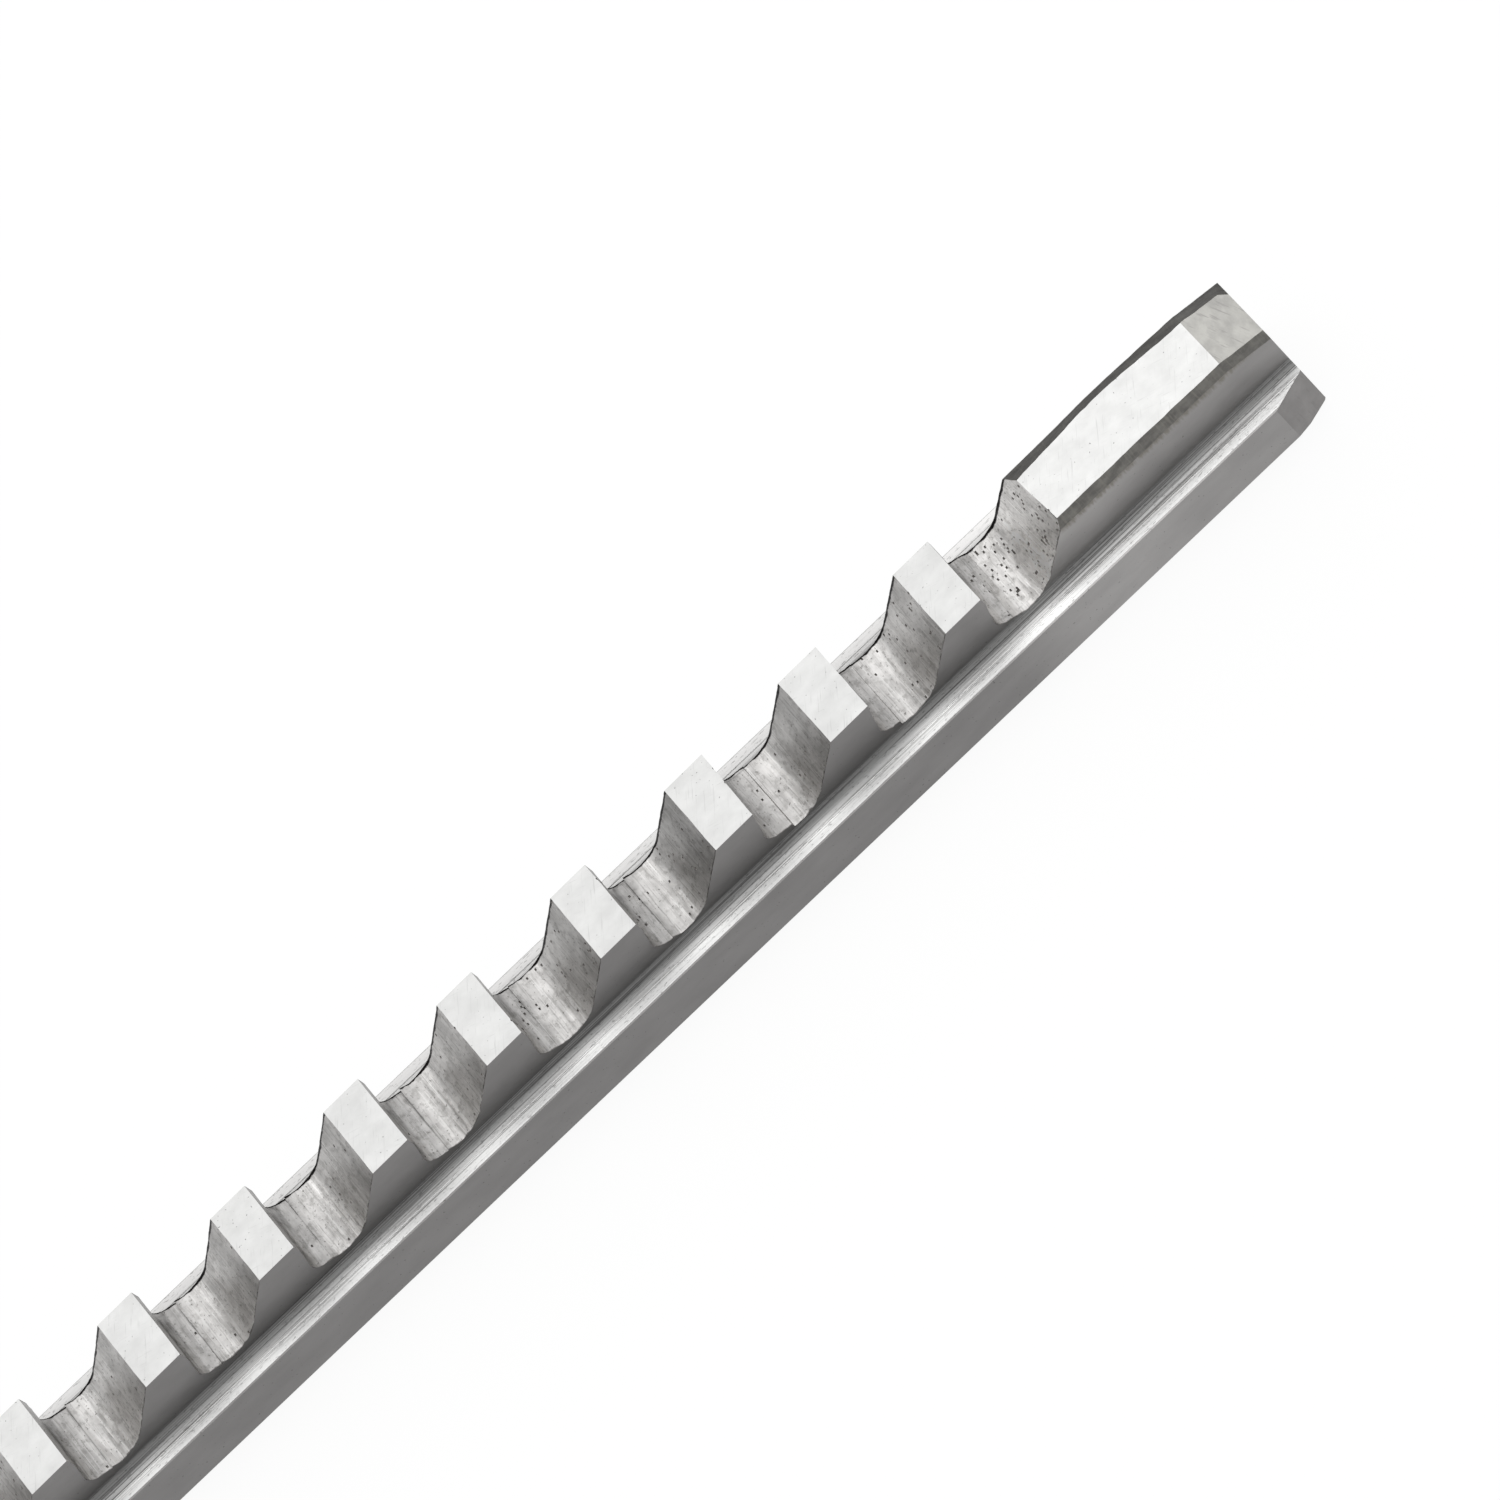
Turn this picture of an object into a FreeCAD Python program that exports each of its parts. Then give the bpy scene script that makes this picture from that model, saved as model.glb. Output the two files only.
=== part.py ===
import FreeCAD, Part
import math
import os

# A push keyway broach, ground from one bar of high speed steel. A narrow toothed rib stands
# on a wider guiding body. Each tooth stands a little higher than the one in front of it, so
# one push through a bore deepens its keyway tooth by tooth.
#
# X runs along the bar towards the pilot, the plain end that enters the work first. Z points
# up, out of the teeth, and the flat back of the body lies at Z = 0. The origin is in the
# middle of the back. Lengths are in millimetres and angles in degrees.

overall_length = 298.5

# Body, a sliding fit in the slot of a bushing
body_width = 9.525
body_height = 5.15
back_edge_break = 0.35
ledge_edge_break = 0.12

# Rib, as wide as the keyway
rib_width = 6.0
ledge_fillet_radius = 0.85
first_edge_above_ledge = 5.78

# Teeth
pitch = 10.4
land_length = 3.4
land_relief_angle = 1.5
rise_per_tooth = 0.1
finishing_teeth = 3

# Gullet in front of each tooth. Its depth is measured from that tooth's cutting edge down to
# the lowest point of the round heel. The floor falls from the root towards the heel.
gullet_depth = 5.12
gullet_floor_angle = 20.0
hook_angle = 11.0
back_angle = 53.0
root_radius = 1.3
heel_radius = 2.8

# Pilot, the plain front end, with its hand ground lead-in flats
pilot_length = 25.4
pilot_drop = 0.1
pilot_bevel_length = 3.6
pilot_bevel_drop = 0.77
near_corner_flat_width = 0.55
near_corner_flat_depth = 0.57
far_corner_flat_width = 1.25
far_corner_flat_depth = 0.8
far_facet_back = 1.3
far_facet_inward = 1.7
far_facet_down = 0.82
side_lead_length = 3.0
side_lead_depth = 0.93
front_back_edge_break = 0.45

# Shank, the plain rear end that the press ram pushes
least_shank_length = 30.0
shank_drop = 0.6
rear_edge_break = 0.8

# How far a grinding tool reaches past the metal that it takes away
tool_overrun = 5.0

front_x = overall_length / 2
rear_x = -overall_length / 2
first_edge_x = front_x - pilot_length
first_edge_z = body_height + first_edge_above_ledge
pilot_top_z = first_edge_z - pilot_drop
gullet_mouth = pitch - land_length
land_fall = land_length * math.tan(math.radians(land_relief_angle))

toothed_length = first_edge_x - rear_x - land_length - least_shank_length
tooth_count = int(toothed_length / pitch) + 1
rising_teeth = tooth_count - finishing_teeth
last_edge_z = first_edge_z + rising_teeth * rise_per_tooth
shank_top_z = last_edge_z - shank_drop


def edge_x(tooth):
    return first_edge_x - tooth * pitch


def edge_z(tooth):
    return first_edge_z + min(tooth, rising_teeth) * rise_per_tooth


def rounded_outline(corners, place):
    """A closed wire through (u, v, radius) corners. A corner with a radius becomes a tangent
    arc. place turns a pair (u, v) into a point in space."""
    starts = []
    ends = []
    middles = []
    for index, (u, v, radius) in enumerate(corners):
        here = FreeCAD.Vector(u, v, 0)
        before = FreeCAD.Vector(*corners[index - 1][:2], 0)
        after = FreeCAD.Vector(*corners[(index + 1) % len(corners)][:2], 0)
        to_before = (before - here).normalize()
        to_after = (after - here).normalize()
        half_turn = to_before.getAngle(to_after) / 2
        reach = radius / math.tan(half_turn)
        bisector = (to_before + to_after).normalize() if radius else to_before
        starts.append(here + to_before * reach)
        ends.append(here + to_after * reach)
        middles.append(here + bisector * (radius / math.sin(half_turn) - radius))
    edges = []
    for index, (u, v, radius) in enumerate(corners):
        start = place(starts[index])
        end = place(ends[index])
        if radius:
            edges.append(Part.Arc(start, place(middles[index]), end).toShape())
        following = place(starts[(index + 1) % len(corners)])
        if not end.isEqual(following, FreeCAD.Base.Precision.confusion()):
            edges.append(Part.makeLine(end, following))
    return Part.Wire(edges)


def section_bar():
    """The T section of body and rib, drawn out over the whole length."""
    half_body = body_width / 2
    half_rib = rib_width / 2
    rib_top = last_edge_z + tool_overrun
    right_half = [
        (half_body - back_edge_break, 0, 0),
        (half_body, back_edge_break, 0),
        (half_body, body_height - ledge_edge_break, 0),
        (half_body - ledge_edge_break, body_height, 0),
        (half_rib, body_height, ledge_fillet_radius),
        (half_rib, rib_top, 0),
    ]
    left_half = [(-across, up, radius) for across, up, radius in reversed(right_half)]

    def at_rear(point):
        return FreeCAD.Vector(rear_x, point.x, point.y)

    wire = rounded_outline(right_half + left_half, at_rear)
    return Part.Face(wire).extrude(FreeCAD.Vector(overall_length, 0, 0))


def gullet_corners(tooth):
    """From the top of the slope in front of a tooth, down to the heel, along the floor to the
    root and up the hooked face to the cutting edge."""
    x = edge_x(tooth)
    z = edge_z(tooth)
    if tooth == 0:
        front_z = pilot_top_z
    else:
        front_z = edge_z(tooth - 1) - land_fall
    slope = math.radians(back_angle)
    fall = math.radians(gullet_floor_angle)
    hook = math.radians(hook_angle)

    # Slope and floor would meet at the heel corner, which lies below the heel's arc.
    heel_turn = slope + fall
    below_arc = heel_radius * (math.cos((slope - fall) / 2) / math.cos(heel_turn / 2) - 1)
    heel_z = z - gullet_depth - below_arc
    heel_x = x + gullet_mouth - (front_z - heel_z) / math.tan(slope)

    # Floor and hooked face would meet at the root corner.
    floor_z_under_edge = heel_z + (heel_x - x) * math.tan(fall)
    root_drop = (z - floor_z_under_edge) / (1 + math.tan(hook) * math.tan(fall))
    root_x = x - root_drop * math.tan(hook)
    root_turn = math.pi / 2 + hook - fall

    # In a short gullet the two arcs shrink until they share the floor between them.
    floor_length = (heel_x - root_x) / math.cos(fall)
    heel_reach = heel_radius * math.tan(heel_turn / 2)
    root_reach = root_radius * math.tan(root_turn / 2)
    fit = min(1, floor_length / (heel_reach + root_reach))
    return [
        (x + gullet_mouth, front_z, 0),
        (heel_x, heel_z, fit * heel_radius),
        (root_x, z - root_drop, fit * root_radius),
        (x, z, 0),
    ]


def side_outline():
    """The side view: back, front end, pilot, every gullet and land, then the shank."""
    corners = [
        (rear_x, 0, 0),
        (front_x - front_back_edge_break, 0, 0),
        (front_x, front_back_edge_break, 0),
        (front_x, pilot_top_z - pilot_bevel_drop, 0),
        (front_x - pilot_bevel_length, pilot_top_z, 0),
    ]
    for tooth in range(tooth_count):
        corners += gullet_corners(tooth)
    land_end_x = edge_x(tooth_count - 1) - land_length
    land_end_z = last_edge_z - land_fall
    step_run = (land_end_z - shank_top_z) / math.tan(math.radians(back_angle))
    corners += [
        (land_end_x, land_end_z, 0),
        (land_end_x - step_run, shank_top_z, 0),
        (rear_x, shank_top_z, 0),
    ]

    def at_far_side(point):
        return FreeCAD.Vector(point.x, -body_width, point.y)

    wire = rounded_outline(corners, at_far_side)
    return Part.Face(wire).extrude(FreeCAD.Vector(0, 2 * body_width, 0))


def ground_away(through, normal):
    """All the metal on the outer side of a flat that passes through a point."""
    size = 4 * body_width
    block = Part.makeBox(size, size, size, FreeCAD.Vector(-size / 2, -size / 2, 0))
    turn = FreeCAD.Rotation(FreeCAD.Vector(0, 0, 1), normal)
    block.Placement = FreeCAD.Placement(through, turn)
    return block


def pilot_corner_flat(side, width, depth):
    """A flat along one top corner of the pilot, from the first gullet to the front end."""
    start_x = first_edge_x + gullet_mouth / 2
    inner_y = side * (rib_width / 2 - width)
    outer_y = side * (rib_width / 2 + width)
    points = [
        FreeCAD.Vector(start_x, inner_y, pilot_top_z),
        FreeCAD.Vector(start_x, outer_y, pilot_top_z),
        FreeCAD.Vector(start_x, outer_y, pilot_top_z - 2 * depth),
    ]
    triangle = Part.Face(Part.makePolygon(points + points[:1]))
    return triangle.extrude(FreeCAD.Vector(front_x + tool_overrun - start_x, 0, 0))


def pilot_far_facet():
    """The small flat where the far corner of the pilot meets its front end."""
    corner = FreeCAD.Vector(front_x, rib_width / 2, pilot_top_z - pilot_bevel_drop)
    normal = FreeCAD.Vector(1 / far_facet_back, 1 / far_facet_inward, 1 / far_facet_down)
    return ground_away(corner - FreeCAD.Vector(far_facet_back, 0, 0), normal)


def side_lead(side):
    """A flat that narrows the body at its front end, so it finds the slot of the bushing."""
    through = FreeCAD.Vector(front_x, side * (body_width / 2 - side_lead_depth), 0)
    normal = FreeCAD.Vector(side_lead_depth, side * side_lead_length, 0)
    return ground_away(through, normal)


def rear_breaks():
    """The broken edges all round the rear end face."""
    half_body = body_width / 2
    faces = [
        (FreeCAD.Vector(rear_x + rear_edge_break, 0, shank_top_z), FreeCAD.Vector(-1, 0, 1)),
        (FreeCAD.Vector(rear_x + rear_edge_break, 0, 0), FreeCAD.Vector(-1, 0, -1)),
        (FreeCAD.Vector(rear_x + rear_edge_break, half_body, 0), FreeCAD.Vector(-1, 1, 0)),
        (FreeCAD.Vector(rear_x + rear_edge_break, -half_body, 0), FreeCAD.Vector(-1, -1, 0)),
    ]
    return [ground_away(through, normal) for through, normal in faces]


def broach():
    blank = section_bar().common(side_outline())
    cuts = [
        pilot_corner_flat(-1, near_corner_flat_width, near_corner_flat_depth),
        pilot_corner_flat(1, far_corner_flat_width, far_corner_flat_depth),
        pilot_far_facet(),
        side_lead(1),
        side_lead(-1),
    ]
    return blank.cut(cuts + rear_breaks()).removeSplitter()


os.makedirs("parts", exist_ok=True)
solid = broach()
solid.exportStep("parts/broach.step")
box = solid.BoundBox
print("teeth", tooth_count, "length", round(box.XLength, 3), "width", round(box.YLength, 3))
print("height", round(box.ZLength, 3), "volume", round(solid.Volume, 1), "valid", solid.isValid())
print("solids", len(solid.Solids), "faces", len(solid.Faces))
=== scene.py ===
# %% [markdown]
# # A push keyway broach
# The real tool is one bar of high speed steel. A narrow rib with 24 teeth stands on a wider
# guiding body, and a plain pilot leads it into the work. This lesson builds the finished
# surface of that bar the way a tool room does: a blank is made first, then two wheels grind the
# gullets, then the pilot gets its lead-in flats. All sizes are in metres.

# %% Load the frame
import math
import random
import bmesh
import bpy
from mathutils import Matrix, Vector, noise


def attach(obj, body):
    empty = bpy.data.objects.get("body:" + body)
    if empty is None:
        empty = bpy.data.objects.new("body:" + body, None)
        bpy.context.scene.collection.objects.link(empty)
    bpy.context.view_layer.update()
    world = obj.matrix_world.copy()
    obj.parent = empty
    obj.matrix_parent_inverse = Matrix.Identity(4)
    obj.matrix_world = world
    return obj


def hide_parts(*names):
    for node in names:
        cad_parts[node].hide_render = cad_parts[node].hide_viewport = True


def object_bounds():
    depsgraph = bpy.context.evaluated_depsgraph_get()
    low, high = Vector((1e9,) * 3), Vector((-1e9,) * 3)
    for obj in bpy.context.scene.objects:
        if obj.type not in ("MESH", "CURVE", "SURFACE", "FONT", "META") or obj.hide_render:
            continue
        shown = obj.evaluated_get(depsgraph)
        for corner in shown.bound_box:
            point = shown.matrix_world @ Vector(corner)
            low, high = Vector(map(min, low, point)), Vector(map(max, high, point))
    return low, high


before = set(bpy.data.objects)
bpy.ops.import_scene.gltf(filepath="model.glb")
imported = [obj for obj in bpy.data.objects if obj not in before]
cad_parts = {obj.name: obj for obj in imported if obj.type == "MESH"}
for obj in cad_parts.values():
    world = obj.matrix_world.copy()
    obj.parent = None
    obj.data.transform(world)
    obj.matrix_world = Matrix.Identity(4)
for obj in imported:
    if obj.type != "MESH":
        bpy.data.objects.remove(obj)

cad_low, cad_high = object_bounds()
print("frame nodes", sorted(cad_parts), "box", cad_low[:], cad_high[:])

# %% [markdown]
# ## Driving sizes
# The bar's ends, width and top come from the frame, so the surface always fits the part. The
# other sizes are the tool's own: a 6 mm rib, teeth every 10.4 mm, each 0.1 mm higher than the
# one in front. Everything else is worked out from these.

# %% Driving sizes
MM = 0.001

front_x = cad_high.x
rear_x = cad_low.x
body_half = cad_high.y
highest_edge_z = cad_high.z

body_height = 5.15 * MM
rib_half = 3.0 * MM
fillet_radius = 0.85 * MM
ledge_break = 0.12 * MM
back_break = 0.35 * MM

first_edge_above_ledge = 5.78 * MM
pitch = 10.4 * MM
land_length = 3.4 * MM
land_relief = math.radians(1.5)
rise = 0.1 * MM
finishing_teeth = 3
back_angle = math.radians(53)

pilot_length = 25.4 * MM
pilot_drop = 0.1 * MM
shank_drop = 0.6 * MM

first_edge_x = front_x - pilot_length
first_edge_z = body_height + first_edge_above_ledge
pilot_top_z = first_edge_z - pilot_drop
shank_top_z = highest_edge_z - shank_drop
land_fall = land_length * math.tan(land_relief)
gullet_mouth = pitch - land_length

rising_teeth = round((highest_edge_z - first_edge_z) / rise)
tooth_count = rising_teeth + finishing_teeth


def edge_x(tooth):
    return first_edge_x - tooth * pitch


def edge_z(tooth):
    return first_edge_z + min(tooth, rising_teeth) * rise


print("teeth", tooth_count, "last edge at x", round(edge_x(tooth_count - 1), 4))

# %% [markdown]
# ## Working by place
# Every operator works on what is selected, so each step starts by picking vertices, edges or
# faces by where they are. A few small helpers do that. The welding distance of each operator is
# far below its default, because the default of 0.1 mm is as large as a tooth's rise.

# %% Helpers for picking
WELD = 1e-8
NEAR = 0.005 * MM


def only(obj):
    """Makes one object the selected and active one."""
    bpy.ops.object.select_all(action="DESELECT")
    obj.select_set(True)
    bpy.context.view_layer.objects.active = obj


def edit(obj):
    """Enters edit mode on one object alone."""
    if bpy.context.mode != "OBJECT":
        bpy.ops.object.mode_set(mode="OBJECT")
    only(obj)
    bpy.ops.object.mode_set(mode="EDIT")


def finish_edit():
    bpy.ops.object.mode_set(mode="OBJECT")


def pick(kind, test):
    """Selects each VERT, EDGE or FACE whose corner points pass the test, and counts them."""
    mesh = bpy.context.object.data
    bpy.ops.mesh.select_mode(type=kind)
    bpy.ops.mesh.select_all(action="DESELECT")
    bm = bmesh.from_edit_mesh(mesh)
    found = {"VERT": bm.verts, "EDGE": bm.edges, "FACE": bm.faces}[kind]
    count = 0
    for element in found:
        points = [element.co] if kind == "VERT" else [v.co for v in element.verts]
        if test(points):
            element.select_set(True)
            count += 1
    bm.select_flush_mode()
    bmesh.update_edit_mesh(mesh)
    return count


def near(value, target):
    return abs(value - target) < NEAR


def slice_at(point, normal, **options):
    """Cuts all that is selected with a plane."""
    bpy.ops.mesh.bisect(plane_co=point, plane_no=normal, threshold=WELD, **options)


def move(offset):
    bpy.ops.transform.translate(value=offset)


# %% [markdown]
# ## Finishes by name
# Each face of the bar shows how it was made: surface ground, wheel ground, ground by hand or
# pitted. A Boolean carries the finish of a tool's faces over to the metal that it cuts, if both
# objects list the same materials. So the list comes first, and every blank and wheel gets it.

# %% Finishes by name
finishes = [bpy.data.materials.new(name) for name in (
    "high_speed_steel_satin_ground",
    "high_speed_steel_bright_ground",
    "high_speed_steel_draw_ground",
    "high_speed_steel_wheel_ground",
    "high_speed_steel_pit_scale",
    "high_speed_steel_hand_ground",
    "high_speed_steel_belt_ground",
    "high_speed_steel_disc_ground",
)]
SATIN, BRIGHT, DRAWN, WHEEL, PIT, HAND, BELT, DISC = range(len(finishes))


def list_finishes(obj, finish):
    """Gives an object the whole list, with one of the finishes on all its faces."""
    obj.data.materials.clear()
    for material in finishes:
        obj.data.materials.append(material)
    for face in obj.data.polygons:
        face.material_index = finish


def paint(finish):
    """Gives the selected faces a finish."""
    bpy.context.object.active_material_index = finish
    bpy.ops.object.material_slot_assign()


# %% [markdown]
# ## The blank
# The body is a plain rectangular bar. A cube is scaled to it and then sliced along the rib's
# two sides, so that the rib's strip is a face of its own.

# %% The blank
bpy.ops.object.select_all(action="DESELECT")
bpy.ops.mesh.primitive_cube_add(
    size=1,
    location=((front_x + rear_x) / 2, 0, body_height / 2),
    scale=(front_x - rear_x, 2 * body_half, body_height),
)
bar = bpy.context.object
bar.name = bar.data.name = "ground_broach"
bpy.ops.object.transform_apply(location=True, rotation=True, scale=True)
list_finishes(bar, SATIN)

edit(bar)
for side in (-1, 1):
    bpy.ops.mesh.select_all(action="SELECT")
    slice_at((0, side * rib_half, 0), (0, 1, 0))
print("blank vertices", len(bmesh.from_edit_mesh(bar.data).verts))

# %% [markdown]
# ## Pulling up the rib
# The middle strip of the top is pulled up, which gives the T section. A bevel on an inside
# corner adds metal, so the same tool that breaks the outer edges also makes the round fillets
# beside the rib. The short edges across its two ends are dissolved before, so that the fillets
# run out cleanly there.

# %% Pulling up the rib
fillet_steps = 14


def on_rib_strip(points):
    return all(near(p.z, body_height) and abs(p.y) < rib_half + NEAR for p in points)


def along_bar(points):
    return abs(points[0].x - points[1].x) > pitch


pick("FACE", on_rib_strip)
bpy.ops.mesh.extrude_region_move(
    TRANSFORM_OT_translate={"value": (0, 0, pilot_top_z - body_height)}
)
pick("EDGE", lambda points: on_rib_strip(points) and not along_bar(points))
bpy.ops.mesh.dissolve_edges(use_verts=False)
pick("EDGE", lambda points: on_rib_strip(points) and along_bar(points))
bpy.ops.mesh.bevel(offset=fillet_radius, segments=fillet_steps, profile=0.5)
for level, size in ((body_height, ledge_break), (0, back_break)):
    pick("EDGE", lambda points: along_bar(points) and all(
        near(p.z, level) and near(abs(p.y), body_half) for p in points))
    bpy.ops.mesh.bevel(offset=size, segments=1)
finish_edit()
print("blank faces", len(bar.data.polygons))

# %% [markdown]
# ## The groove at the foot of the fillet
# The wheel that rounds the fillet and the one that grinds the ledge don't quite meet, and a
# hair-fine groove stays between them. Two slices along the bar give it a strip of its own, and
# the middle of the strip goes down.

# %% The groove at the foot of the fillet
groove_width = 0.1 * MM
groove_depth = 0.03 * MM
groove_gap = 0.03 * MM
groove_start = rib_half + fillet_radius + groove_gap

edit(bar)
for side in (-1, 1):
    for step in (0, 0.5, 1):
        pick("FACE", lambda points: all(
            near(p.z, body_height) and p.y * side > rib_half for p in points))
        slice_at((0, side * (groove_start + step * groove_width), 0), (0, 1, 0))
    middle = side * (groove_start + groove_width / 2)
    pick("VERT", lambda points: near(points[0].z, body_height) and near(points[0].y, middle))
    move((0, 0, -groove_depth))
finish_edit()
print("faces with the grooves", len(bar.data.polygons))

# %% [markdown]
# ## The crown of the near ledge
# The near ledge isn't quite flat. The cup wheel that draws along it is worn round at its rim, so
# the ledge falls away towards the body's edge by a few hundredths of a millimetre. That small
# slope is what makes its outer half shine, because it turns the reflection up past the rib.

# %% The crown of the near ledge
ledge_edge = body_half - ledge_break
crown = (
    # place inward from the ledge's outer edge, drop
    (0.62 * MM, 0.0), (0.47 * MM, 0.011 * MM), (0.32 * MM, 0.03 * MM), (0.16 * MM, 0.055 * MM),
)
crown_drop = 0.08 * MM

edit(bar)
for inward, drop in crown:
    pick("FACE", lambda points: all(
        near(p.z, body_height) and p.y < -rib_half for p in points))
    slice_at((0, inward - ledge_edge, 0), (0, 1, 0))
for inward, drop in crown + ((0.0, crown_drop),):
    place = inward - ledge_edge
    pick("VERT", lambda points: near(points[0].z, body_height) and near(points[0].y, place))
    move((0, 0, -drop))
finish_edit()
print("faces with the crown", len(bar.data.polygons))

# %% [markdown]
# ## The roof line
# The rib's top isn't level: every land rises to its cutting edge and each tooth stands higher.
# The blank is sliced wherever the roof line turns, and the rib's top corners there are lifted
# to their height. The roof over a gullet is plain, because the wheels take it away later.

# %% The roof line
bevel_length = 3.6 * MM
bevel_drop = 0.77 * MM
bevel_start_x = front_x - bevel_length
step_run = (highest_edge_z - land_fall - shank_top_z) / math.tan(back_angle)

last_land_end_x = edge_x(tooth_count - 1) - land_length
roof = [
    (rear_x, shank_top_z),
    (last_land_end_x - step_run, shank_top_z),
]
for tooth in reversed(range(tooth_count)):
    roof.append((edge_x(tooth) - land_length, edge_z(tooth) - land_fall))
    roof.append((edge_x(tooth), edge_z(tooth)))
roof.append((first_edge_x + gullet_mouth, pilot_top_z))
roof.append((bevel_start_x, pilot_top_z))
roof.append((front_x, pilot_top_z - bevel_drop))

edit(bar)
for x, z in roof[1:-1]:
    bpy.ops.mesh.select_all(action="SELECT")
    slice_at((x, 0, 0), (1, 0, 0))
for x, z in roof:
    pick("VERT", lambda points: near(points[0].x, x) and near(points[0].z, pilot_top_z))
    move((0, 0, z - pilot_top_z))
finish_edit()
print("roof corners", len(roof), "faces", len(bar.data.polygons))

# %% [markdown]
# ## Flats ground at both ends
# A flat that only meets one corner of the bar is a plane cut through the whole mesh: what
# lies outside goes, and the opening is filled. The front end gets its side leads, the small
# far facet and a broken lower edge. The rear end has all its edges broken.

# %% Flats at the ends
side_lead_length = 3.0 * MM
side_lead_depth = 0.93 * MM
rear_break = 0.8 * MM
far_facet_back = 1.3 * MM
far_facet_inward = 1.7 * MM
far_facet_down = 0.82 * MM
front_break = 0.15 * MM

flats = [
    ((front_x - far_facet_back, rib_half, pilot_top_z - bevel_drop),
     (1 / far_facet_back, 1 / far_facet_inward, 1 / far_facet_down)),
    ((front_x - front_break, 0, 0), (1, 0, -1)),
    ((rear_x + rear_break, 0, shank_top_z), (-1, 0, 1)),
    ((rear_x + rear_break, 0, 0), (-1, 0, -1)),
]
for side in (-1, 1):
    flats.append(((front_x, side * (body_half - side_lead_depth), 0),
                  (side_lead_depth, side * side_lead_length, 0)))
    flats.append(((rear_x + rear_break, side * body_half, 0), (-1, side, 0)))

edit(bar)
for point, normal in flats:
    bpy.ops.mesh.select_all(action="SELECT")
    slice_at(point, Vector(normal).normalized(), use_fill=True, clear_outer=True)
finish_edit()
print("faces with the end flats", len(bar.data.polygons))

# %% [markdown]
# ## A wheel's form
# A gullet is the mark of shaped grinding wheels. Two passes make it: a root wheel grinds the
# hooked face and the small round root, and a heel wheel grinds the large round heel and the
# sloping back. A little step stays in the floor where the two passes meet. Each wheel is
# modelled as a solid that is wider than the rib, with the tooth's cutting edge as its origin:
# a cube gets its four side-view corners pulled into place, and one lower edge is rounded. A
# rounding reaches back from its corner by the radius times the tangent of half the turn.

# %% A wheel's form
hook_angle = math.radians(11)
wheel_lift = 1.2 * MM
wheel_overlap = 0.5 * MM
wheel_half = rib_half + wheel_overlap
LEFT, RIGHT, LOW, HIGH = -1, 1, -1, 1


def wheel_block(name, corners):
    """A solid across the rib, whose four corners in side view are given as (x, z)."""
    bpy.ops.object.select_all(action="DESELECT")
    bpy.ops.mesh.primitive_cube_add(size=1, scale=(pitch, 2 * wheel_half, pitch))
    block = bpy.context.object
    block.name = name
    list_finishes(block, WHEEL)
    bpy.ops.object.transform_apply(location=True, rotation=True, scale=True)
    edit(block)
    for (side, level), (x, z) in corners.items():
        pick("VERT", lambda points: near(points[0].x, side * pitch / 2)
             and near(points[0].z, level * pitch / 2))
        move((x - side * pitch / 2, 0, z - level * pitch / 2))
    return block


def round_corner(x, z, radius, turn, segments):
    """Rounds the edge through (x, z), where the outline turns by an angle."""
    pick("EDGE", lambda points: all(near(p.x, x) and near(p.z, z) for p in points))
    reach = radius * math.tan(turn / 2)
    bpy.ops.mesh.bevel(offset=reach, segments=segments, profile=0.5)
    return reach


# %% [markdown]
# ## Fine cells on a wheel
# The metal copies the wheel, so the wheel needs cells as fine as the ridges that show: about
# 0.13 mm along the gullet and 0.2 mm across it. Slicing planes make them. A few more slices lie
# close to the rib's two sides: there the wheel is swelled a little, and so the gullet's edges
# come out rounded, as a wheel and a deburring stone leave them.

# %% Fine cells on a wheel
ridge = 0.13 * MM
cell = 0.2 * MM

# The hooked face is hardly seen, so its cells are three times as long.
hook_ridge = 3 * ridge

# The slices up the slope and the hooked face stop this high above the cutting edge.
slices_top = 0.1 * MM

# The wheel swells only below this height, so that the cutting edges stay straight.
swell_below = -0.5 * MM
swells = (
    # place outward from the rib's side, swell
    (-0.1 * MM, 0.0), (-0.04 * MM, 0.004 * MM), (0.0, 0.02 * MM), (0.1 * MM, 0.03 * MM),
)


def slices(start, stop, step):
    """Evenly spaced places from start to stop."""
    count = max(1, round(abs(stop - start) / step))
    return [start + (stop - start) * i / count for i in range(1, count)]


def slice_faces(test, places, axis):
    """Slices the faces that pass the test at each place along one axis."""
    for place in places:
        pick("FACE", test)
        point = [0, 0, 0]
        normal = [0, 0, 0]
        point[axis] = place
        normal[axis] = 1
        slice_at(point, normal)


def slice_across():
    """Slices a wheel across the rib, and swells it at the rib's two sides."""
    across = slices(-rib_half - swells[0][0], rib_half + swells[0][0], cell)
    for side in (-1, 1):
        across += [side * (rib_half + offset) for offset, swell in swells]
    slice_faces(lambda points: True, sorted(across), 1)
    for offset, swell in swells[1:]:
        pick("VERT", lambda points: near(abs(points[0].y), rib_half + offset)
             and points[0].z < swell_below)
        bpy.ops.transform.shrink_fatten(value=swell)


# %% [markdown]
# ## The heel wheel
# Its low corner is where slope and floor would meet. The round heel lies above that corner, so
# the corner goes below the gullet's depth by what the rounding takes away.

# %% The heel wheel
gullet_depth = 5.12 * MM
heel_radius = 2.8 * MM
heel_steps = 26
floor_angle = math.radians(20)

slope_top_z = -rise - land_fall
heel_turn = back_angle + floor_angle
below_arc = heel_radius * (
    math.cos((back_angle - floor_angle) / 2) / math.cos(heel_turn / 2) - 1)
heel_z = -gullet_depth - below_arc
heel_x = gullet_mouth - (slope_top_z - heel_z) / math.tan(back_angle)
heel_wheel_start = -0.2 * MM


def floor_z(x):
    return heel_z + (heel_x - x) * math.tan(floor_angle)


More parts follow.
